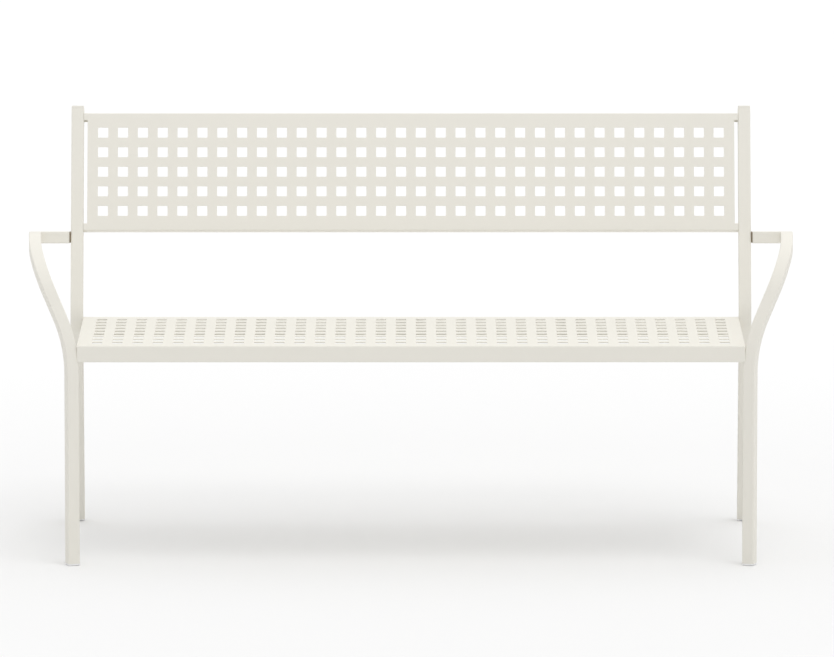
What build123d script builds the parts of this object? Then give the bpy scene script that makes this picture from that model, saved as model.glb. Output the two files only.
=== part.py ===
from build123d import *
import math
import os

# Garden bench in welded steel: two bent square-tube side frames, a perforated seat pan and a
# perforated back panel, both folded from sheet. Millimetres, +X along the bench, +Y to its back,
# +Z up. The origin is on the floor, in the middle of the footprint.

# ---- driving dimensions ----
SEAT_HEIGHT = 439.5
SEAT_LENGTH = 1318.0
SEAT_DEPTH = 400.0
FRONT_FLANGE = 33.0
REAR_FLANGE = 38.0
SHEET = 2.0
FOLD_RADIUS = 1.3        # at the middle of the sheet's thickness
LIP = 14.0

HOLE_PITCH = 40.0
HOLE_SIDE = 20.4
HOLE_COLUMNS = 32
SEAT_HOLE_ROWS = 9
BACK_HOLE_ROWS = 5

BACK_HEIGHT = 240.0      # measured along the lean
BACK_FACE_LENGTH = 1303.0
BACK_TAB_HEIGHT = 14.5
BACK_FOLD = 25.0
BACK_BELOW_TOP = 15.5
BACK_LEAN = 17.6         # degrees from upright

UPRIGHT_TUBE = 25.0
UPRIGHT_X = 671.5
UPRIGHT_BEND_Y = 387.0
UPRIGHT_BEND_Z = 438.0
UPRIGHT_BEND_RADIUS = 90.0
UPRIGHT_LENGTH = 432.7   # from the bend to the top of the cap
REAR_FOOT_X = 675.2
REAR_FOOT_Y = 550.0

ARM_TUBE = 24.0
ARM_CORNER = (755.8, 420.4, 597.6)
ARM_TOP_BEND = (745.3, 140.2, 634.7)
ARM_TOP_BEND_RADIUS = 90.0
ARM_FRONT_BEND = (741.5, 39.8, 606.0)
ARM_FRONT_BEND_RADIUS = 113.5
LEG_BEND = (669.6, 9.6, 440.2)
LEG_BEND_RADIUS = 260.0
ARM_CORNER_RADIUS = 12.0
BRIDGE_END_Y = 429.0
BRIDGE_RUN = 200.0       # swept length before both ends are trimmed
SPACER_THICKNESS = 3.0
SPACER_DEPTH = 15.0
SPACER_HEIGHT = 21.0
SPACER_Y = 433.5
END_CAP_THICKNESS = 2.5

WALL = 2.0
TUBE_EDGE_RADIUS = 2.5
BORE_EDGE_RADIUS = TUBE_EDGE_RADIUS - WALL
GLIDE_THICKNESS = 4.0
GLIDE_EDGE = 1.0
PLUG_DEPTH = 22.0
PLUG_CLEARANCE = 0.25
CAP_THICKNESS = 5.0
CAP_INSET = 0.2
CAP_EDGE_RADIUS = 0.8

END_RAIL_WIDTH = 20.0
END_RAIL_HEIGHT = 25.0
RIB_WIDTH = 15.0
RIB_HEIGHT = 20.0
RIB_WALL = 1.5
RIB_X = {"left": -320.0, "middle": 0.0, "right": 320.0}
LEG_CLEARANCE = 30.0     # the pan's end flange starts this far behind the seat's front edge
GUSSET_THICKNESS = 4.0
GUSSET_TOP = 26.0        # below the seat's top
GUSSET_LENGTH = 47.0
GUSSET_REACH = 22.0
GUSSET_TOE = 12.0        # runs this far forward of the end flange, up to the leg

SEAT_END = SEAT_LENGTH / 2
UPRIGHT_OUTER = UPRIGHT_X + UPRIGHT_TUBE / 2
LEAN = math.radians(BACK_LEAN)
BEYOND = 30.0            # how far a sweep runs on before it is trimmed
BIG = 2000.0

os.makedirs("parts", exist_ok=True)


# ---- square tube along a bent centre line ----
def section(plane, side, radius):
    return plane * RectangleRounded(side, side, radius)


def bent_bar(points, radii, side, radius, across):
    """A solid square bar along straight runs joined by tangent arcs."""
    line = FilletPolyline(*points, radius=radii)
    start = Plane(origin=line @ 0, x_dir=across, z_dir=line % 0)
    return sweep(section(start, side, radius), path=line)


def slab(z_low, z_high):
    return Pos(0, 0, (z_low + z_high) / 2) * Box(BIG, BIG, z_high - z_low)


# ---- right-hand side frame: front leg and arm, bridge to the upright, rear leg ----
def extend(start, end, extra):
    """The point beyond start, on the line from end through start."""
    start = Vector(*start)
    away = (start - Vector(*end)).normalized()
    return start + away * extra


BRIDGE_END_X = UPRIGHT_OUTER + SPACER_THICKNESS
BRIDGE_TUBE_X = BRIDGE_END_X + END_CAP_THICKNESS
# arm and bridge lie in one plane that rises towards the front
ARM_RISE = (ARM_TOP_BEND[2] - ARM_CORNER[2]) / (ARM_CORNER[1] - ARM_TOP_BEND[1])
BRIDGE_END_Z = ARM_CORNER[2] - (BRIDGE_END_Y - ARM_CORNER[1]) * ARM_RISE
ARM_DIRECTION = (Vector(*ARM_TOP_BEND) - Vector(*ARM_CORNER)).normalized()
BRIDGE_DIRECTION = (Vector(BRIDGE_END_X, BRIDGE_END_Y, BRIDGE_END_Z) - Vector(*ARM_CORNER)).normalized()
ARM_UP = BRIDGE_DIRECTION.cross(ARM_DIRECTION).normalized()
ARM_ACROSS = ARM_UP.cross(ARM_DIRECTION)
MITRE_DIRECTION = (ARM_DIRECTION + BRIDGE_DIRECTION).normalized()
MITRE_NORMAL = MITRE_DIRECTION.cross(ARM_UP)
MITRE_PLANE = Plane(origin=ARM_CORNER, x_dir=MITRE_DIRECTION, z_dir=MITRE_NORMAL)
HALF_ANGLE = math.radians(ARM_DIRECTION.get_angle(MITRE_DIRECTION))


def beyond_mitre(part, keep_arm_side):
    arm_side_is_top = ARM_DIRECTION.dot(MITRE_NORMAL) > 0
    keep = Keep.TOP if arm_side_is_top == keep_arm_side else Keep.BOTTOM
    return split(part, bisect_by=MITRE_PLANE, keep=keep)


def corner_rounding():
    """The sliver outside the rounded outer edge where arm and bridge meet."""
    corner = Vector(*ARM_CORNER) - MITRE_DIRECTION * (ARM_TUBE / 2 / math.sin(HALF_ANGLE))
    reach = ARM_CORNER_RADIUS / math.tan(HALF_ANGLE)
    on_arm = corner + ARM_DIRECTION * reach
    on_bridge = corner + BRIDGE_DIRECTION * reach
    depth = ARM_CORNER_RADIUS / math.sin(HALF_ANGLE) - ARM_CORNER_RADIUS
    middle = corner + MITRE_DIRECTION * depth
    outside = corner - MITRE_DIRECTION * ARM_CORNER_RADIUS
    outline = [
        Line(outside, on_arm),
        ThreePointArc(on_arm, middle, on_bridge),
        Line(on_bridge, outside),
    ]
    above = Pos(*(ARM_UP * ARM_TUBE)) * make_face(outline)
    return extrude(above, amount=2 * ARM_TUBE, dir=ARM_UP * -1)


def front_leg_arm():
    """The bent tube from the floor to the arm's rear corner, and the solid bar of its outside."""
    foot = (LEG_BEND[0], LEG_BEND[1], 0)
    radii = [ARM_TOP_BEND_RADIUS, ARM_FRONT_BEND_RADIUS, LEG_BEND_RADIUS]
    bends = [ARM_TOP_BEND, ARM_FRONT_BEND, LEG_BEND]
    outer_line = [extend(ARM_CORNER, ARM_TOP_BEND, BEYOND), *bends, foot]
    bore_line = [extend(ARM_CORNER, ARM_TOP_BEND, -ARM_TUBE), *bends, foot]
    outer = bent_bar(outer_line, radii, ARM_TUBE, TUBE_EDGE_RADIUS, ARM_ACROSS)
    cavity = bent_bar(bore_line, radii, ARM_TUBE - 2 * WALL, BORE_EDGE_RADIUS, ARM_ACROSS)
    outer = beyond_mitre(outer, True) - corner_rounding()
    tube = (outer - cavity) & slab(GLIDE_THICKNESS, BIG)
    return tube, outer


def bridge():
    """Short tube from the arm's rear corner towards the upright, closed by a flat cap."""
    start = Vector(*ARM_CORNER) - BRIDGE_DIRECTION * BEYOND
    across = ARM_UP.cross(BRIDGE_DIRECTION)
    plane = Plane(origin=start, x_dir=across, z_dir=BRIDGE_DIRECTION)
    bar = extrude(section(plane, ARM_TUBE, TUBE_EDGE_RADIUS), amount=BRIDGE_RUN)
    bore_start = plane.offset(BEYOND + ARM_TUBE)
    cavity = extrude(section(bore_start, ARM_TUBE - 2 * WALL, BORE_EDGE_RADIUS), amount=BRIDGE_RUN)
    bar = beyond_mitre(bar, False) - corner_rounding()
    outside = Pos(BRIDGE_TUBE_X + BIG / 2, 0, BIG / 2) * Box(BIG, BIG, BIG)
    cap_x = BRIDGE_END_X + END_CAP_THICKNESS / 2
    cap_room = Pos(cap_x, 0, BIG / 2) * Box(END_CAP_THICKNESS, BIG, BIG)
    tube = (bar - cavity) & outside
    cap = bar & cap_room
    return tube, cap


def arm_spacer():
    middle = (UPRIGHT_OUTER + BRIDGE_END_X) / 2
    block = Box(SPACER_THICKNESS, SPACER_DEPTH, SPACER_HEIGHT)
    return Pos(middle, SPACER_Y, BRIDGE_END_Z) * block


def back_point(along, forward=0.0, x=UPRIGHT_X):
    """A point up the leaning upright from its bend, moved forward square to it."""
    y = UPRIGHT_BEND_Y + along * math.sin(LEAN) - forward * math.cos(LEAN)
    z = UPRIGHT_BEND_Z + along * math.cos(LEAN) + forward * math.sin(LEAN)
    return Vector(x, y, z)


def rear_leg_upright():
    """The bent tube from the floor to the cap, and the solid bar of its outside."""
    top = back_point(UPRIGHT_LENGTH - CAP_THICKNESS)
    bend = back_point(0)
    foot = Vector(REAR_FOOT_X, REAR_FOOT_Y, 0)
    run_on = foot + (foot - bend).normalized() * BEYOND
    line = [top, bend, run_on]
    radii = [UPRIGHT_BEND_RADIUS]
    outer = bent_bar(line, radii, UPRIGHT_TUBE, TUBE_EDGE_RADIUS, (1, 0, 0))
    cavity = bent_bar(line, radii, UPRIGHT_TUBE - 2 * WALL, BORE_EDGE_RADIUS, (1, 0, 0))
    tube = (outer - cavity) & slab(GLIDE_THICKNESS, BIG)
    return tube, outer


def upright_cap():
    """Moulded cap: a flat lid flush with the tube, and a plug inside it."""
    seam = Plane(origin=back_point(UPRIGHT_LENGTH - CAP_THICKNESS), x_dir=(1, 0, 0),
                 z_dir=(0, math.sin(LEAN), math.cos(LEAN)))
    side = UPRIGHT_TUBE - 2 * CAP_INSET
    lid = extrude(section(seam, side, TUBE_EDGE_RADIUS), amount=CAP_THICKNESS)
    top_edges = lid.faces().sort_by(Axis((0, 0, 0), seam.z_dir))[-1].edges()
    lid = fillet(top_edges, CAP_EDGE_RADIUS)
    plug_side = UPRIGHT_TUBE - 2 * WALL - 2 * PLUG_CLEARANCE
    plug = extrude(section(seam, plug_side, BORE_EDGE_RADIUS), amount=-PLUG_DEPTH)
    return lid + plug


def foot_glide(outer, foot, above, side):
    """Moulded glide: a pad flush with the tube's outside, and a plug up its bore."""
    pad = outer & slab(0, GLIDE_THICKNESS)
    ground_edges = pad.faces().sort_by(Axis.Z)[0].edges()
    across = ground_edges.filter_by(GeomType.LINE).sort_by(SortBy.LENGTH)[-1] % 0
    pad = chamfer(ground_edges, GLIDE_EDGE)
    plug_side = side - 2 * WALL - 2 * PLUG_CLEARANCE
    axis = (above - foot).normalized()
    start = Plane(origin=foot, x_dir=across, z_dir=axis)
    plug = extrude(section(start, plug_side, BORE_EDGE_RADIUS), amount=2 * PLUG_DEPTH)
    return pad + (plug & slab(GLIDE_THICKNESS, PLUG_DEPTH))


# ---- perforated sheet ----
def seat_profile():
    half = SHEET / 2
    return [
        (LIP, -FRONT_FLANGE + half),
        (half, -FRONT_FLANGE + half),
        (half, -half),
        (SEAT_DEPTH - half, -half),
        (SEAT_DEPTH - half, -REAR_FLANGE + half),
        (SEAT_DEPTH - LIP, -REAR_FLANGE + half),
    ]


def back_profile():
    half = SHEET / 2
    return [
        (LIP, -BACK_FOLD + half),
        (half, -BACK_FOLD + half),
        (half, -half),
        (BACK_HEIGHT - half, -half),
        (BACK_HEIGHT - half, -BACK_FOLD + half),
        (BACK_HEIGHT - LIP, -BACK_FOLD + half),
    ]


def sheet_section(points):
    return trace(FilletPolyline(*points, radius=FOLD_RADIUS), line_width=SHEET)


def hole_grid(rows):
    """Square holes cut right through, rows running along the first direction from its zero."""
    middle = (rows + 1) * HOLE_PITCH / 2
    holes = Sketch() + [
        place * Rectangle(HOLE_SIDE, HOLE_SIDE)
        for place in GridLocations(HOLE_PITCH, HOLE_PITCH, HOLE_COLUMNS, rows)
    ]
    return Pos(0, middle) * extrude(holes, amount=2 * SHEET, both=True)


def seat_pan(legs):
    profile_plane = Plane(origin=(-SEAT_END, 0, SEAT_HEIGHT), x_dir=(0, 1, 0), z_dir=(1, 0, 0))
    pan = extrude(profile_plane * sheet_section(seat_profile()), amount=SEAT_LENGTH)
    # the lips stop short of both ends, to clear the legs
    lip_low = SEAT_HEIGHT - REAR_FLANGE - SHEET
    lip_high = SEAT_HEIGHT - FRONT_FLANGE + 2 * SHEET
    trim = Box(LEG_CLEARANCE, SEAT_DEPTH - 2 * SHEET, lip_high - lip_low)
    trim_x = SEAT_END - LEG_CLEARANCE / 2
    # each end is closed by a flange between the leg and the rear flange
    end_length = SEAT_DEPTH - LEG_CLEARANCE - SHEET
    end_height = FRONT_FLANGE - SHEET / 2
    end_flange = Box(SHEET, end_length, end_height)
    end_y = LEG_CLEARANCE + end_length / 2
    end_z = SEAT_HEIGHT - SHEET / 2 - end_height / 2
    for side in (-1, 1):
        pan -= Pos(side * trim_x, SEAT_DEPTH / 2, (lip_low + lip_high) / 2) * trim
        pan += Pos(side * (SEAT_END - SHEET / 2), end_y, end_z) * end_flange
    # the front flange is nicked where it meets the backs of the legs
    return pan - legs - Pos(0, 0, SEAT_HEIGHT) * hole_grid(SEAT_HOLE_ROWS)


def back_panel():
    origin = back_point(UPRIGHT_LENGTH - BACK_BELOW_TOP - BACK_HEIGHT, UPRIGHT_TUBE / 2, 0)
    face = Plane(origin=origin, x_dir=(1, 0, 0), z_dir=(0, -math.cos(LEAN), math.sin(LEAN)))
    profile_plane = Plane(origin=(-SEAT_END, 0, 0), x_dir=(0, 1, 0), z_dir=(1, 0, 0))
    panel = extrude(profile_plane * sheet_section(back_profile()), amount=SEAT_LENGTH)
    slot_height = BACK_HEIGHT - 2 * BACK_TAB_HEIGHT
    slot_width = (SEAT_LENGTH - BACK_FACE_LENGTH) / 2
    slot = Box(2 * slot_width, slot_height, 2 * SHEET)
    for side in (-1, 1):
        panel -= Pos(side * SEAT_END, BACK_HEIGHT / 2, 0) * slot
    return face * (panel - hole_grid(BACK_HOLE_ROWS))


# ---- stiffeners under the seat ----
def box_tube(width, length, height, wall):
    return Box(width, length, height) - Box(width - 2 * wall, length, height - 2 * wall)


def seat_end_rail():
    length = SEAT_DEPTH - LEG_CLEARANCE - 2 * SHEET
    x = SEAT_END - SHEET - END_RAIL_WIDTH / 2
    z = SEAT_HEIGHT - SHEET - END_RAIL_HEIGHT / 2
    rail = box_tube(END_RAIL_WIDTH, length, END_RAIL_HEIGHT, RIB_WALL)
    return Pos(x, LEG_CLEARANCE + length / 2, z) * rail


def seat_rib(x):
    length = SEAT_DEPTH - 4 * SHEET
    z = SEAT_HEIGHT - SHEET - RIB_HEIGHT / 2
    return Pos(x, SEAT_DEPTH / 2, z) * box_tube(RIB_WIDTH, length, RIB_HEIGHT, RIB_WALL)


def seat_gusset(leg):
    """Flat plate welded between the pan's end flange and the back of the front leg."""
    z = SEAT_HEIGHT - GUSSET_TOP
    outline = Polyline(
        (SEAT_END, LEG_CLEARANCE - GUSSET_TOE, z),
        (SEAT_END, LEG_CLEARANCE + GUSSET_LENGTH, z),
        (SEAT_END + GUSSET_REACH, LEG_CLEARANCE, z),
        (SEAT_END + GUSSET_REACH / 2, LEG_CLEARANCE - GUSSET_TOE, z),
        close=True,
    )
    plate = extrude(make_face(outline), amount=-GUSSET_THICKNESS, dir=(0, 0, 1)) - leg
    return plate.solids().sort_by(SortBy.VOLUME)[-1]


# ---- build every piece ----
leg_tube, leg_outer = front_leg_arm()
rear_tube, rear_outer = rear_leg_upright()
bridge_tube, end_cap = bridge()
front_foot = Vector(LEG_BEND[0], LEG_BEND[1], 0)
rear_foot = Vector(REAR_FOOT_X, REAR_FOOT_Y, 0)

right_side = {
    "front_leg_arm": leg_tube,
    "arm_bridge": bridge_tube,
    "arm_end_cap": end_cap,
    "arm_spacer": arm_spacer(),
    "rear_leg_upright": rear_tube,
    "upright_cap": upright_cap(),
    "foot_glide_front": foot_glide(leg_outer, front_foot, Vector(*LEG_BEND), ARM_TUBE),
    "foot_glide_rear": foot_glide(rear_outer, rear_foot, back_point(0), UPRIGHT_TUBE),
    "seat_end_rail": seat_end_rail(),
    "seat_gusset": seat_gusset(leg_outer),
}

both_legs = leg_outer + mirror(leg_outer, about=Plane.YZ)
nodes = {"seat_pan": seat_pan(both_legs), "back_panel": back_panel()}
for name, part in right_side.items():
    nodes[name + "_right"] = part
    nodes[name + "_left"] = mirror(part, about=Plane.YZ)
for name, x in RIB_X.items():
    nodes["seat_rib_" + name] = seat_rib(x)

boxes = [part.bounding_box() for part in nodes.values()]
middle_y = (min(box.min.Y for box in boxes) + max(box.max.Y for box in boxes)) / 2
for name, part in nodes.items():
    export_step(Pos(0, -middle_y, 0) * part, os.path.join("parts", name + ".step"))
print("pieces", len(nodes), "middle y", round(middle_y, 3))
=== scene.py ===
"""Looks of the welded garden bench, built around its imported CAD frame. Lengths below are in
millimetres, +X right, +Y back, +Z up, and become metres where a mesh, light or camera is made."""
import math

import bmesh
import bpy
from mathutils import Matrix, Vector


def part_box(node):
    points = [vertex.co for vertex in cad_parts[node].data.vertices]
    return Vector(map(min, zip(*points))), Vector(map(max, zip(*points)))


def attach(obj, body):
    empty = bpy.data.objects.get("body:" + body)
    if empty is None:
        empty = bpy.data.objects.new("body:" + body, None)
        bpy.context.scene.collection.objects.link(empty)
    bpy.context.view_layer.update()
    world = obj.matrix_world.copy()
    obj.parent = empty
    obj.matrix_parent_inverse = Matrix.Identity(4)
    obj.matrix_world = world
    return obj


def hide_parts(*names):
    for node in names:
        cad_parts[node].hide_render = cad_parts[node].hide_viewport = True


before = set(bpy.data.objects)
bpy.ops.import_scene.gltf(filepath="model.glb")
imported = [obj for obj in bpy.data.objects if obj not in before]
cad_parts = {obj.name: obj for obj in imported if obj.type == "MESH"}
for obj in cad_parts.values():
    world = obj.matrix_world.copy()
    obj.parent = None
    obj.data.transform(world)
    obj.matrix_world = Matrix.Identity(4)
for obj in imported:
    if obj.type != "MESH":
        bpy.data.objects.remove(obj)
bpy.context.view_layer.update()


def node_box(node):
    low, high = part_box(node)
    return Vector(low) * 1000, Vector(high) * 1000


# ---- sizes read from the frame ----
MM = 0.001
SIDES = {"right": 1, "left": -1}
seat_low, seat_high = node_box("seat_pan")
end_cap_low, end_cap_high = node_box("arm_end_cap_right")
spacer_low, spacer_high = node_box("arm_spacer_right")
front_glide_low, front_glide_high = node_box("foot_glide_front_right")

SEAT_FRONT = seat_low.y
SEAT_TOP = seat_high.z
SEAT_END = seat_high.x
SEAT_DEPTH = seat_high.y - seat_low.y
REAR_FLANGE = seat_high.z - seat_low.z
GLIDE_THICKNESS = node_box("front_leg_arm_right")[0].z
FRONT_FOOT = (front_glide_low + front_glide_high) / 2

# ---- driving dimensions shared with the CAD ----
SHEET = 2.0
FOLD_RADIUS = 1.3
LIP = 14.0
FRONT_FLANGE = 33.0
HOLE_PITCH = 40.0
HOLE_SIDE = 20.4
HOLE_COLUMNS = 32
SEAT_HOLE_ROWS = 9
BACK_HOLE_ROWS = 5
BACK_HEIGHT = 240.0
BACK_FACE_END = 651.5
BACK_TAB_HEIGHT = 14.5
BACK_FOLD = 25.0
BACK_BELOW_TOP = 15.5
LEAN = math.radians(17.6)
UPRIGHT_TUBE = 25.0
UPRIGHT_BEND = Vector((671.5, SEAT_FRONT + 387.0, 438.0))
UPRIGHT_BEND_RADIUS = 90.0
UPRIGHT_LENGTH = 432.7
CAP_THICKNESS = 5.0
REAR_FOOT = Vector((675.2, SEAT_FRONT + 550.0, 0))
ARM_TUBE = 24.0
ARM_CORNER = Vector((755.8, SEAT_FRONT + 420.4, 597.6))
ARM_TOP_BEND = Vector((745.3, SEAT_FRONT + 140.2, 634.7))
ARM_FRONT_BEND = Vector((741.5, SEAT_FRONT + 39.8, 606.0))
LEG_BEND = Vector((FRONT_FOOT.x, FRONT_FOOT.y, 440.2))
ARM_RADII = [90.0, 113.5, 260.0]
ARM_CORNER_RADIUS = 12.0
BRIDGE_END = Vector((end_cap_low.x, SEAT_FRONT + 429.0, (spacer_low.z + spacer_high.z) / 2))
TUBE_EDGE_RADIUS = 2.5
LEG_CLEARANCE = 30.0

# ---- fine detail that only the looks have ----
HOLE_CORNER_RADIUS = 1.2
HOLE_RIM = 0.3
SHEET_RIM = 0.4
SEAT_END_RIM = 1.6
SEAM_GROOVE = 0.35
MITRE_INNER_RADIUS = 3.0
SEAT_END_LAND = 650.0
GUSSET_RIM = 0.35


# ---- materials ----
CREAM = (0.84, 0.817, 0.747)


def node_material(name):
    material = bpy.data.materials.new(name)
    material.use_nodes = True
    tree = material.node_tree
    return material, tree, tree.nodes["Principled BSDF"]


def object_noise(tree, scale, detail=2.0, roughness=0.5):
    """Noise that is fixed to the piece, with its scale per metre."""
    place = tree.nodes.new("ShaderNodeTexCoord")
    noise = tree.nodes.new("ShaderNodeTexNoise")
    noise.inputs["Scale"].default_value = scale
    noise.inputs["Detail"].default_value = detail
    noise.inputs["Roughness"].default_value = roughness
    tree.links.new(place.outputs["Object"], noise.inputs["Vector"])
    return noise.outputs["Fac"]


def remap(tree, value, low, high, from_low=0.3, from_high=0.7):
    spread = tree.nodes.new("ShaderNodeMapRange")
    spread.inputs["From Min"].default_value = from_low
    spread.inputs["From Max"].default_value = from_high
    spread.inputs["To Min"].default_value = low
    spread.inputs["To Max"].default_value = high
    tree.links.new(value, spread.inputs["Value"])
    return spread.outputs["Result"]


def tinted(tree, base, value, spread):
    """The base colour, a touch darker and lighter with value."""
    mix = tree.nodes.new("ShaderNodeMix")
    mix.data_type = "RGBA"
    factor, first, second = mix.inputs[0], mix.inputs[6], mix.inputs[7]
    first.default_value = (*[c * (1 - spread) for c in base], 1)
    second.default_value = (*[min(1, c * (1 + spread)) for c in base], 1)
    tree.links.new(value, factor)
    return mix.outputs[2]


def bump(tree, value, distance, strength, below=None):
    node = tree.nodes.new("ShaderNodeBump")
    node.inputs["Distance"].default_value = distance
    node.inputs["Strength"].default_value = strength
    tree.links.new(value, node.inputs["Height"])
    if below is not None:
        tree.links.new(below, node.inputs["Normal"])
    return node.outputs["Normal"]


def powder_coat(name, base=CREAM, grain=900.0, roughness=(0.46, 0.58)):
    """Matt powder coat: fine even grain over a soft orange peel, with faint clouding of the colour."""
    material, tree, shader = node_material(name)
    clouds = object_noise(tree, 9.0, 4.0, 0.6)
    peel = object_noise(tree, grain / 3, 3.0, 0.55)
    fine = object_noise(tree, grain, 2.0, 0.5)
    tree.links.new(tinted(tree, base, clouds, 0.012), shader.inputs["Base Color"])
    tree.links.new(remap(tree, peel, *roughness), shader.inputs["Roughness"])
    peel_normal = bump(tree, peel, 0.0004, 0.15)
    tree.links.new(bump(tree, fine, 0.00015, 0.2, peel_normal), shader.inputs["Normal"])
    shader.inputs["Specular IOR Level"].default_value = 0.22
    return material


def moulded_plastic(name, base, roughness):
    """Satin moulded plastic with a fine spark-eroded texture."""
    material, tree, shader = node_material(name)
    clouds = object_noise(tree, 60.0, 3.0, 0.5)
    fine = object_noise(tree, 2200.0, 2.0, 0.5)
    tree.links.new(tinted(tree, base, clouds, 0.02), shader.inputs["Base Color"])
    tree.links.new(remap(tree, fine, roughness - 0.06, roughness + 0.06), shader.inputs["Roughness"])
    tree.links.new(bump(tree, fine, 0.0001, 0.3), shader.inputs["Normal"])
    return material


MATERIALS = {
    "frame_paint": powder_coat("frame_powder_coat"),
    "sheet_paint": powder_coat("sheet_powder_coat", grain=1000.0),
    "stiffener_paint": powder_coat("stiffener_powder_coat", tuple(c * 0.985 for c in CREAM)),
    "cap_plastic": moulded_plastic("cap_moulding", CREAM, 0.42),
    "glide_plastic": moulded_plastic("glide_moulding", (0.95, 0.95, 0.945), 0.38),
    # The spacer's dark brown colour is painted shade: it stands for the shadow in the narrow gap
    # between the arm's end and the upright.
    "spacer_plastic": moulded_plastic("spacer_gap_shade_moulding", (0.26, 0.205, 0.14), 0.6),
}


# ---- making a piece ----
def add_piece(name, verts, faces, slot, nodes):
    """One shaded mesh object that rides on the bench and stands for the named CAD nodes."""
    mesh = bpy.data.meshes.new(name)
    mesh.from_pydata([tuple(Vector(v) * MM) for v in verts], [], faces)
    work = bmesh.new()
    work.from_mesh(mesh)
    bmesh.ops.recalc_face_normals(work, faces=work.faces)
    work.to_mesh(mesh)
    work.free()
    mesh.polygons.foreach_set("use_smooth", [True] * len(mesh.polygons))
    mesh.set_sharp_from_angle(angle=math.radians(48))
    mesh.materials.append(MATERIALS[slot])
    piece = bpy.data.objects.new(name, mesh)
    bpy.context.scene.collection.objects.link(piece)
    weigh = piece.modifiers.new("weighted_normals", "WEIGHTED_NORMAL")
    weigh.keep_sharp = True
    weigh.weight = 80
    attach(piece, "root")
    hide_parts(*nodes)
    return piece


def on_both_sides(base, verts, faces, slot, nodes):
    """The right-hand piece and its mirror image on the left."""
    for side, sign in SIDES.items():
        placed = [Vector((sign * v[0], v[1], v[2])) for v in verts]
        add_piece(base + "_" + side + "_look", placed, faces, slot, [n + "_" + side for n in nodes])


def loft(rings, closed=True):
    """Vertices and faces through rings that have the same number of points."""
    count = len(rings[0])
    verts = [point for ring in rings for point in ring]
    faces = []
    for r in range(len(rings) - 1):
        for i in range(count):
            j = (i + 1) % count
            faces.append((r * count + i, r * count + j, (r + 1) * count + j, (r + 1) * count + i))
    if closed:
        faces.append(tuple(range(count)))
        faces.append(tuple(range(len(verts) - count, len(verts))))
    return verts, faces


def joined(*shells):
    verts, faces = [], []
    for shell_verts, shell_faces in shells:
        start = len(verts)
        verts += shell_verts
        faces += [tuple(start + i for i in face) for face in shell_faces]
    return verts, faces


def rounded_outline(half_u, half_v, radius, steps=5):
    """Rounded rectangle as (u, v) points, the same number in each corner."""
    points = []
    for quarter, (su, sv) in enumerate(((1, 1), (-1, 1), (-1, -1), (1, -1))):
        for k in range(steps + 1):
            angle = math.pi / 2 * (quarter + k / steps)
            u = su * (half_u - radius) + radius * math.cos(angle)
            v = sv * (half_v - radius) + radius * math.sin(angle)
            points.append((u, v))
    return points


def place_outline(outline, origin, across, up):
    return [origin + across * u + up * v for u, v in outline]


def bent_rings(points, radii, outline, across, step=math.radians(3)):
    """Rings of the outline along straight runs joined by tangent arcs, and the last heading."""
    heading = (points[1] - points[0]).normalized()
    across = across.normalized()
    up = heading.cross(across)
    rings = [place_outline(outline, points[0], across, up)]
    for corner, onward, radius in zip(points[1:-1], points[2:], radii):
        next_heading = (onward - corner).normalized()
        turn = heading.angle(next_heading)
        axis = heading.cross(next_heading).normalized()
        position = corner - heading * (radius * math.tan(turn / 2))
        centre = position + axis.cross(heading) * radius
        steps = max(2, math.ceil(turn / step))
        for k in range(steps + 1):
            rotation = Matrix.Rotation(turn * k / steps, 3, axis)
            spot = centre + rotation @ (position - centre)
            rings.append(place_outline(outline, spot, rotation @ across, rotation @ up))
        whole = Matrix.Rotation(turn, 3, axis)
        heading, across, up = next_heading, whole @ across, whole @ up
    rings.append(place_outline(outline, points[-1], across, up))
    return rings, heading


def run_to_plane(ring, heading, axis, value):
    """Each point of the ring moved along the heading until its coordinate on axis is value."""
    return [p + heading * ((value - p[axis]) / heading[axis]) for p in ring]


def shrunk(ring, inset):
    """The ring drawn in towards its centre by about inset."""
    centre = sum(ring, Vector()) / len(ring)
    reach = max((p - centre).length for p in ring) / math.sqrt(2)
    return [centre + (p - centre) * (1 - inset / reach) for p in ring]


def moved(ring, offset):
    return [p + offset for p in ring]


def stacked(ring, axis, profile):
    """The ring repeated along axis, one copy for each (inset, height)."""
    return [moved(shrunk(ring, inset), axis * height) for inset, height in profile]


def bevelled(outline, height, rim, axis, across, origin):
    """A plate: the outline extruded by height along axis, with its edges softened by rim."""
    up = axis.cross(across)
    base = place_outline(outline, origin, across, up)
    low_in, low_rim = shrunk(base, rim), moved(base, axis * rim)
    high_rim, high_in = moved(base, axis * (height - rim)), moved(shrunk(base, rim), axis * height)
    return loft([low_in, low_rim, high_rim, high_in])


# ---- front legs that run on into the arms ----
ARM_DIRECTION = (ARM_TOP_BEND - ARM_CORNER).normalized()
BRIDGE_DIRECTION = (BRIDGE_END - ARM_CORNER).normalized()
ARM_UP = BRIDGE_DIRECTION.cross(ARM_DIRECTION).normalized()
ARM_ACROSS = ARM_UP.cross(ARM_DIRECTION)
MITRE = (ARM_DIRECTION + BRIDGE_DIRECTION).normalized()
HALF_ANGLE = ARM_DIRECTION.angle(MITRE)
TOWARDS_ARM = (ARM_DIRECTION - MITRE * math.cos(HALF_ANGLE)).normalized()
TUBE_OUTLINE = rounded_outline(ARM_TUBE / 2, ARM_TUBE / 2, TUBE_EDGE_RADIUS)
QUARTER = math.pi / 2 - HALF_ANGLE


def corner_ring(angle):
    """Section through the arm's mitred rear corner; angle runs from the mitre towards the arm."""
    ring = []
    for u, v in TUBE_OUTLINE:
        radius = max(MITRE_INNER_RADIUS, ARM_CORNER_RADIUS - (ARM_TUBE / 2 - u))
        meeting = ARM_CORNER - MITRE * (u / math.sin(HALF_ANGLE))
        centre = meeting + MITRE * (radius / math.sin(HALF_ANGLE))
        outward = TOWARDS_ARM * math.sin(angle) - MITRE * math.cos(angle)
        ring.append(centre + outward * radius + ARM_UP * v)
    return ring


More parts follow.
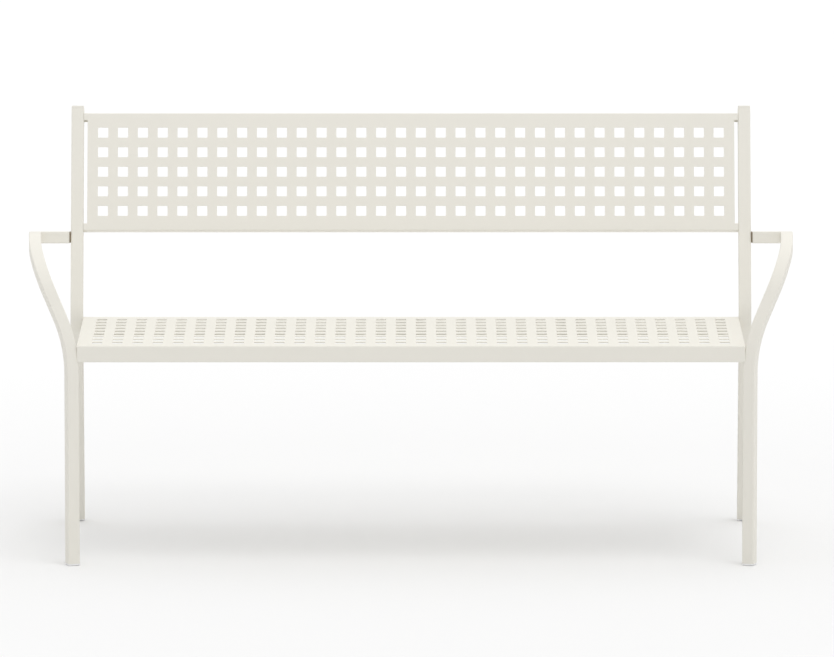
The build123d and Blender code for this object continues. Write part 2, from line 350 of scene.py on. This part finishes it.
CORNER_STEPS = 6
corner_to_arm = [corner_ring(QUARTER * k / CORNER_STEPS) for k in range(CORNER_STEPS + 1)]
corner_to_bridge = [corner_ring(-QUARTER * k / CORNER_STEPS) for k in range(CORNER_STEPS + 1)]

leg_rings, down = bent_rings(
    [ARM_CORNER, ARM_TOP_BEND, ARM_FRONT_BEND, LEG_BEND, FRONT_FOOT * 1.0], ARM_RADII,
    TUBE_OUTLINE, ARM_ACROSS)
leg_end = run_to_plane(leg_rings[-1], down, 2, GLIDE_THICKNESS)
arm_and_leg = corner_to_arm + leg_rings[1:-1] + [leg_end]
on_both_sides("front_leg_arm", *loft(arm_and_leg), "frame_paint", ["front_leg_arm"])

cap_start = run_to_plane(corner_to_bridge[-1], BRIDGE_DIRECTION, 0, end_cap_high.x)
on_both_sides("arm_bridge", *loft(corner_to_bridge + [cap_start]), "frame_paint", ["arm_bridge"])

cap_depth = end_cap_high.x - end_cap_low.x
end_cap_profile = [(SEAM_GROOVE, 0), (0.05, 0.3), (0.05, cap_depth - 0.6),
                   (0.25, cap_depth - 0.2), (0.8, cap_depth)]
end_cap = loft(stacked(cap_start, Vector((-1, 0, 0)), end_cap_profile))
on_both_sides("arm_end_cap", *end_cap, "frame_paint", ["arm_end_cap"])

spacer_half = (spacer_high - spacer_low) / 2
spacer_middle = (spacer_low + spacer_high) / 2
spacer = bevelled(rounded_outline(spacer_half.y, spacer_half.z, 1.0), 2 * spacer_half.x, 0.2,
                  Vector((1, 0, 0)), Vector((0, 1, 0)),
                  Vector((spacer_low.x, spacer_middle.y, spacer_middle.z)))
# Dark brown spacer: painted shade of the narrow gap between the arm's end and the upright.
on_both_sides("arm_spacer", *spacer, "spacer_plastic", ["arm_spacer"])


# ---- rear legs that run on into the uprights ----
UP_LEAN = Vector((0, math.sin(LEAN), math.cos(LEAN)))
FORWARD = Vector((0, -math.cos(LEAN), math.sin(LEAN)))
UPRIGHT_OUTLINE = rounded_outline(UPRIGHT_TUBE / 2, UPRIGHT_TUBE / 2, TUBE_EDGE_RADIUS)
seam = UPRIGHT_BEND + UP_LEAN * (UPRIGHT_LENGTH - CAP_THICKNESS)
upright_rings, down = bent_rings(
    [seam, UPRIGHT_BEND, REAR_FOOT], [UPRIGHT_BEND_RADIUS], UPRIGHT_OUTLINE, Vector((1, 0, 0)))
rear_end = run_to_plane(upright_rings[-1], down, 2, GLIDE_THICKNESS)
rear_tube = loft(upright_rings[:-1] + [rear_end])
on_both_sides("rear_leg_upright", *rear_tube, "frame_paint", ["rear_leg_upright"])

cap_profile = [(SEAM_GROOVE + 0.2, 0), (0.2, 0.35), (0.2, CAP_THICKNESS - 0.9),
               (0.42, CAP_THICKNESS - 0.35), (0.95, CAP_THICKNESS - 0.05),
               (3.0, CAP_THICKNESS + 0.15), (7.0, CAP_THICKNESS + 0.3)]
cap = loft(stacked(upright_rings[0], UP_LEAN, cap_profile))
on_both_sides("upright_cap", *cap, "cap_plastic", ["upright_cap"])


# ---- foot glides ----
def glide(ring, heading):
    """Pad under a leg: a groove at the seam, a straight skirt and a rounded tread."""
    full = run_to_plane(ring, heading, 2, 0.0)
    top = GLIDE_THICKNESS
    skirt = [(top, SEAM_GROOVE), (top - 0.35, 0), (1.9, 0), (1.0, 0.5), (0.4, 1.4), (0, 2.8)]
    rings = []
    for height, inset in skirt:
        rings.append(shrunk(run_to_plane(full, heading, 2, height), inset))
    return loft(rings)


front_glide = glide(leg_end, Vector((0, 0, -1)))
rear_glide = glide(rear_end, down)
on_both_sides("foot_glide_front", *front_glide, "glide_plastic", ["foot_glide_front"])
on_both_sides("foot_glide_rear", *rear_glide, "glide_plastic", ["foot_glide_rear"])


# ---- perforated sheet, folded along its long edges ----
def fold_path(corners):
    """Straight and curved stretches of the sheet's middle line, each with its length."""
    stretches = []
    start = Vector(corners[0])
    for corner, onward in zip(corners[1:-1], corners[2:]):
        corner, onward = Vector(corner), Vector(onward)
        heading, next_heading = (corner - start).normalized(), (onward - corner).normalized()
        before, after = corner - heading * FOLD_RADIUS, corner + next_heading * FOLD_RADIUS
        stretches.append((start, heading, (before - start).length, None))
        centre = before + next_heading * FOLD_RADIUS
        stretches.append((before, heading, FOLD_RADIUS * math.pi / 2, (centre, next_heading)))
        start = after
    end = Vector(corners[-1])
    stretches.append((start, (end - start).normalized(), (end - start).length, None))
    return stretches


def sheet_point(stretches, along, depth):
    """Position and outward depth on the folded sheet, at a developed length."""
    for index, (start, heading, length, arc) in enumerate(stretches):
        if along <= length or index == len(stretches) - 1:
            break
        along -= length
    if arc:
        centre, next_heading = arc
        angle = along / FOLD_RADIUS
        outward = heading * math.sin(angle) - next_heading * math.cos(angle)
        spot = centre + outward * FOLD_RADIUS
        heading = heading * math.cos(angle) + next_heading * math.sin(angle)
    else:
        spot = start + heading * along
    outward = Vector((-heading.y, heading.x))
    return spot + outward * (SHEET / 2 - depth)


def hole_loop(grow):
    """Sixteen points round a rounded square hole, starting at the middle of its right side."""
    half = HOLE_SIDE / 2 + grow
    straight = HOLE_SIDE / 2 - HOLE_CORNER_RADIUS
    mid = straight + (HOLE_CORNER_RADIUS + grow) * math.sqrt(0.5)
    quarter = [(half, 0), (half, straight), (mid, mid), (straight, half)]
    points = []
    for _ in range(4):
        points += quarter
        quarter = [(-v, u) for u, v in quarter]
    return points


def rim_steps(radius, steps=3):
    """(inset, depth) round a quarter circle from the face to the edge."""
    turns = [math.pi / 2 * k / steps for k in range(steps + 1)]
    return [(radius * (1 - math.sin(a)), radius * (1 - math.cos(a))) for a in turns]


def folded_sheet(corners, length_end, rows, margin_u, margin_s, removed, end_rim, place):
    """Perforated sheet folded at the given corners; place maps (x, profile point) into the bench."""
    stretches = fold_path(corners)
    straight = HOLE_SIDE / 2 - HOLE_CORNER_RADIUS
    flat_start = sum(s[2] for s in stretches[:4])
    flat_s = stretches[4][0].x
    half_rows = HOLE_COLUMNS * HOLE_PITCH / 2
    row_start = HOLE_PITCH / 2
    us = [sign * m for sign in (-1, 1) for m in (*margin_u, length_end)]
    for column in range(HOLE_COLUMNS):
        middle = -half_rows + HOLE_PITCH * (column + 0.5)
        us += [middle - HOLE_PITCH / 2, middle - straight, middle, middle + straight]
    us = sorted(set(us + [half_rows]))
    flat = [flat_s, flat_s + stretches[4][2]] + list(margin_s)
    for row in range(rows):
        middle = row_start + HOLE_PITCH * (row + 0.5)
        flat += [middle - HOLE_PITCH / 2, middle - straight, middle, middle + straight]
    flat += [row_start + HOLE_PITCH * rows]
    ts = [flat_start + s - flat_s for s in flat]
    begin = 0.0
    for index, (_, _, length, arc) in enumerate(stretches):
        if arc:
            ts += [begin + length * k / 6 for k in range(7)]
        elif index != 4:
            ts += [begin, begin + length]
        begin += length
    ts = sorted(set(round(t, 5) for t in ts))
    u_index = {round(u, 3): i for i, u in enumerate(us)}
    t_index = {round(t - flat_start + flat_s, 3): j for j, t in enumerate(ts)}
    present, tiles = set(), []
    for i in range(len(us) - 1):
        for j in range(len(ts) - 1):
            u, t = (us[i] + us[i + 1]) / 2, (ts[j] + ts[j + 1]) / 2
            if not removed(abs(u), t - flat_start + flat_s):
                present.add((i, j))
    tile_cells = set()
    for column in range(HOLE_COLUMNS):
        for row in range(rows):
            i = u_index[round(-half_rows + HOLE_PITCH * column, 3)]
            j = t_index[round(row_start + HOLE_PITCH * row, 3)]
            tiles.append((i, j))
            tile_cells |= {(i + a, j + b) for a in range(4) for b in range(4)}
    edges, outward = [], {}
    for i, j in present:
        for (a, b), first, second in (
                ((1, 0), (i + 1, j), (i + 1, j + 1)), ((-1, 0), (i, j + 1), (i, j)),
                ((0, 1), (i + 1, j + 1), (i, j + 1)), ((0, -1), (i, j), (i + 1, j))):
            if (i + a, j + b) in present:
                continue
            edges.append((first, second))
            for key in (first, second):
                outward.setdefault(key, set()).add((a, b))
    verts, faces, made = [], [], {}

    def vert(u, t, depth):
        verts.append(place(u, sheet_point(stretches, t, depth)))
        return len(verts) - 1

    def rim_point(key, ring):
        """Ring 0 to 3 round the front rim, 4 to 7 round the back rim, by grid corner."""
        if (key, ring) not in made:
            i, j = key
            u, t = us[i], ts[j]
            away = outward.get(key)
            inset, depth = 0.0, 0.0 if ring < 4 else SHEET
            if away:
                only_ends = all(b == 0 for _, b in away)
                radius = end_rim if only_ends and ring < 4 else SHEET_RIM
                inset, depth = rim_steps(radius)[ring if ring < 4 else 7 - ring]
                depth = depth if ring < 4 else SHEET - depth
                u -= inset * max(-1, min(1, sum(a for a, _ in away)))
                t -= inset * max(-1, min(1, sum(b for _, b in away)))
            made[key, ring] = vert(u, t, depth)
        return made[key, ring]

    for i, j in present - tile_cells:
        for ring in (0, 7):
            around = [(i, j), (i + 1, j), (i + 1, j + 1), (i, j + 1)]
            faces.append(tuple(rim_point(key, ring) for key in around))
    for first, second in edges:
        for ring in range(7):
            faces.append((rim_point(first, ring), rim_point(second, ring),
                          rim_point(second, ring + 1), rim_point(first, ring + 1)))
    rim = rim_steps(HOLE_RIM, 2)
    hole_rings = list(rim) + [(inset, SHEET - depth) for inset, depth in rim[::-1]]
    loops = [(hole_loop(inset), depth) for inset, depth in hole_rings]
    square = [(4, 2), (4, 3), (4, 4), (3, 4), (2, 4), (1, 4), (0, 4), (0, 3),
              (0, 2), (0, 1), (0, 0), (1, 0), (2, 0), (3, 0), (4, 0), (4, 1)]
    for i, j in tiles:
        middle_u, middle_t = us[i + 2], ts[j + 2]
        rings = [[rim_point((i + a, j + b), 0) for a, b in square]]
        for loop, depth in loops:
            rings.append([vert(middle_u + u, middle_t + v, depth) for u, v in loop])
        rings.append([rim_point((i + a, j + b), 7) for a, b in square])
        for near, far in zip(rings, rings[1:]):
            for k in range(16):
                following = (k + 1) % 16
                faces.append((near[k], near[following], far[following], far[k]))
    return verts, faces


def place_on_seat(x, point):
    return Vector((x, SEAT_FRONT + point.x, SEAT_TOP + point.y))


half_sheet = SHEET / 2
seat_corners = [
    (LIP, -FRONT_FLANGE + half_sheet),
    (half_sheet, -FRONT_FLANGE + half_sheet),
    (half_sheet, -half_sheet),
    (SEAT_DEPTH - half_sheet, -half_sheet),
    (SEAT_DEPTH - half_sheet, -REAR_FLANGE + half_sheet),
    (SEAT_DEPTH - LIP, -REAR_FLANGE + half_sheet),
]
seat_developed = [s[2] for s in fold_path(seat_corners)]
seat_shift = half_sheet + FOLD_RADIUS - sum(seat_developed[:4])


def off_the_seat(u, s):
    """The lips stop short of both ends."""
    t = s - seat_shift
    in_lip = t < seat_developed[0] or t > sum(seat_developed) - seat_developed[-1]
    return in_lip and u > SEAT_END - LEG_CLEARANCE


seat_sheet = folded_sheet(seat_corners, SEAT_END, SEAT_HOLE_ROWS, (SEAT_END_LAND,), (), off_the_seat,
                          SEAT_END_RIM, place_on_seat)
flange_length = SEAT_DEPTH - LEG_CLEARANCE - SHEET
end_flanges = []
for sign in (-1, 1):
    flange_height = FRONT_FLANGE - half_sheet
    origin = Vector((sign * (SEAT_END - SHEET), SEAT_FRONT + LEG_CLEARANCE + flange_length / 2,
                     SEAT_TOP - half_sheet - flange_height / 2))
    outline = rounded_outline(flange_length / 2, flange_height / 2, 0.6, 2)
    outwards = Vector((sign, 0, 0))
    end_flanges.append(bevelled(outline, SHEET - 0.04, 0.35, outwards, Vector((0, 1, 0)), origin))
add_piece("seat_pan_look", *joined(seat_sheet, *end_flanges), "sheet_paint", ["seat_pan"])

foot_along = UPRIGHT_LENGTH - BACK_BELOW_TOP - BACK_HEIGHT
PANEL_FOOT = UPRIGHT_BEND + UP_LEAN * foot_along + FORWARD * (UPRIGHT_TUBE / 2)


def place_on_back(x, point):
    return Vector((x, PANEL_FOOT.y, PANEL_FOOT.z)) + UP_LEAN * point.x + FORWARD * point.y


back_corners = [
    (LIP, -BACK_FOLD + half_sheet),
    (half_sheet, -BACK_FOLD + half_sheet),
    (half_sheet, -half_sheet),
    (BACK_HEIGHT - half_sheet, -half_sheet),
    (BACK_HEIGHT - half_sheet, -BACK_FOLD + half_sheet),
    (BACK_HEIGHT - LIP, -BACK_FOLD + half_sheet),
]


def off_the_back(u, s):
    """Open slot between the face and each upright, with a tab left above and below it."""
    return u > BACK_FACE_END and BACK_TAB_HEIGHT < s < BACK_HEIGHT - BACK_TAB_HEIGHT


back_sheet = folded_sheet(back_corners, SEAT_END, BACK_HOLE_ROWS, (BACK_FACE_END,),
                          (BACK_TAB_HEIGHT, BACK_HEIGHT - BACK_TAB_HEIGHT), off_the_back,
                          SHEET_RIM, place_on_back)
add_piece("back_panel_look", *back_sheet, "sheet_paint", ["back_panel"])


# ---- stiffeners under the seat ----
def hollow_tube(node, wall=1.5, corner_radius=2.0):
    """Rectangular tube along Y that fills the node's box, open at both ends."""
    low, high = node_box(node)
    half = (high - low) / 2
    outer = rounded_outline(half.x, half.z, corner_radius)
    inner = rounded_outline(half.x - wall, half.z - wall, corner_radius - wall + 0.5)
    near = Vector((low.x + half.x, low.y, low.z + half.z))
    far = Vector((near.x, high.y, near.z))
    ends = ((inner, near), (outer, near), (outer, far), (inner, far))
    rings = [place_outline(shape, spot, Vector((1, 0, 0)), Vector((0, 0, 1))) for shape, spot in ends]
    verts, faces = loft(rings + rings[:1], closed=False)
    count = 4 * len(outer)
    return verts[:count], [tuple(i % count for i in face) for face in faces]


for name in ("seat_rib_left", "seat_rib_middle", "seat_rib_right"):
    add_piece(name + "_look", *hollow_tube(name), "stiffener_paint", [name])
end_rail = hollow_tube("seat_end_rail_right")
on_both_sides("seat_end_rail", *end_rail, "stiffener_paint", ["seat_end_rail"])

gusset_low, gusset_high = node_box("seat_gusset_right")
gusset_front = SEAT_FRONT + LEG_CLEARANCE
gusset_outline = [
    Vector((SEAT_END, gusset_low.y + 5.0, gusset_low.z)),
    Vector((SEAT_END + 11.0, gusset_low.y, gusset_low.z)),
    Vector((gusset_high.x, gusset_front, gusset_low.z)),
    Vector((gusset_high.x - 1.0, gusset_front + 3.0, gusset_low.z)),
    Vector((SEAT_END + 1.0, gusset_high.y - 1.5, gusset_low.z)),
    Vector((SEAT_END, gusset_high.y, gusset_low.z)),
]
gusset_thickness = gusset_high.z - gusset_low.z
gusset_profile = [(GUSSET_RIM, 0), (0, GUSSET_RIM), (0, gusset_thickness - GUSSET_RIM),
                  (GUSSET_RIM, gusset_thickness)]
gusset = loft(stacked(gusset_outline, Vector((0, 0, 1)), gusset_profile))
on_both_sides("seat_gusset", *gusset, "stiffener_paint", ["seat_gusset"])


# ---- floor, light and camera ----
# Painted shadow: the floor's base colour is darker near the bench and fades to the pale far value
# between the two distances, in metres from the floor's middle.
FLOOR_NEAR_PAINTED_SHADOW = 0.858
FLOOR_FAR = 0.914
PAINTED_SHADOW_FADE = (1.3, 3.2)
DOME_LEVEL = 0.38
DOME_SLOPE = (0.06, 0.12, 0.83)
BELOW_HORIZON = 0.85
KEY_DIRECTION = (0.21, -0.42, 1.0)
KEY_STRENGTH = 0.21 * math.pi
KEY_ANGLE = math.radians(32)
CAMERA_LENS_MM = 429.6
CAMERA_DISTANCE = 19.62
CAMERA_ELEVATION = math.radians(8.46)
AIM_ABOVE_SEAT = 0.0347
AIM_RIGHT = 0.0119


def make_floor():
    mesh = bpy.data.meshes.new("floor")
    half = 120.0
    corners = [(-half, -half, 0), (half, -half, 0), (half, half, 0), (-half, half, 0)]
    mesh.from_pydata(corners, [], [(0, 1, 2, 3)])
    floor = bpy.data.objects.new("floor", mesh)
    bpy.context.scene.collection.objects.link(floor)
    material, tree, shader = node_material("floor_pale_painted_shadow")
    place = tree.nodes.new("ShaderNodeTexCoord")
    reach = tree.nodes.new("ShaderNodeVectorMath")
    reach.operation = "LENGTH"
    tree.links.new(place.outputs["Object"], reach.inputs[0])
    # Painted shadow of the bench: the floor colour is darker close to the bench and paler further out.
    shade = remap(tree, reach.outputs["Value"], FLOOR_NEAR_PAINTED_SHADOW, FLOOR_FAR, *PAINTED_SHADOW_FADE)
    tree.links.new(shade, shader.inputs["Base Color"])
    shader.inputs["Roughness"].default_value = 0.9
    shader.inputs["Specular IOR Level"].default_value = 0.0
    mesh.materials.append(material)


def make_light():
    """A soft dome, brighter overhead and behind, and one soft key from the front right."""
    world = bpy.data.worlds.new("studio")
    bpy.context.scene.world = world
    world.use_nodes = True
    tree = world.node_tree
    sky = tree.nodes["Background"]
    place = tree.nodes.new("ShaderNodeTexCoord")
    slope = tree.nodes.new("ShaderNodeVectorMath")
    slope.operation = "DOT_PRODUCT"
    slope.inputs[1].default_value = DOME_SLOPE
    tree.links.new(place.outputs["Generated"], slope.inputs[0])
    level = tree.nodes.new("ShaderNodeMath")
    level.operation = "ADD"
    level.inputs[1].default_value = DOME_LEVEL
    tree.links.new(slope.outputs["Value"], level.inputs[0])
    split = tree.nodes.new("ShaderNodeSeparateXYZ")
    tree.links.new(place.outputs["Generated"], split.inputs[0])
    above = tree.nodes.new("ShaderNodeMath")
    above.operation = "GREATER_THAN"
    above.inputs[1].default_value = 0.0
    tree.links.new(split.outputs["Z"], above.inputs[0])
    choose = tree.nodes.new("ShaderNodeMix")
    choose.inputs[2].default_value = BELOW_HORIZON
    tree.links.new(above.outputs[0], choose.inputs[0])
    tree.links.new(level.outputs[0], choose.inputs[3])
    tree.links.new(choose.outputs[0], sky.inputs["Strength"])
    sky.inputs["Color"].default_value = (1, 1, 1, 1)
    data = bpy.data.lights.new("softbox_key", "SUN")
    data.energy = KEY_STRENGTH
    data.angle = KEY_ANGLE
    key = bpy.data.objects.new("softbox_key", data)
    bpy.context.scene.collection.objects.link(key)
    key.location = Vector(KEY_DIRECTION) * 4
    key.rotation_mode = "QUATERNION"
    key.rotation_quaternion = Vector(KEY_DIRECTION).to_track_quat("Z", "Y")


def make_camera():
    data = bpy.data.cameras.new("camera")
    data.lens = CAMERA_LENS_MM
    data.sensor_width = 36.0
    data.clip_start = 0.5
    data.clip_end = 300.0
    camera = bpy.data.objects.new("camera", data)
    bpy.context.scene.collection.objects.link(camera)
    edge = Vector((0, SEAT_FRONT, SEAT_TOP)) * MM
    back = Vector((0, -math.cos(CAMERA_ELEVATION), math.sin(CAMERA_ELEVATION)))
    camera.location = edge + back * CAMERA_DISTANCE
    target = edge + Vector((AIM_RIGHT, 0, AIM_ABOVE_SEAT))
    camera.rotation_mode = "QUATERNION"
    camera.rotation_quaternion = (camera.location - target).to_track_quat("Z", "Y")
    bpy.context.scene.camera = camera


make_floor()
make_light()
make_camera()
bpy.context.scene.view_settings.view_transform = "Standard"
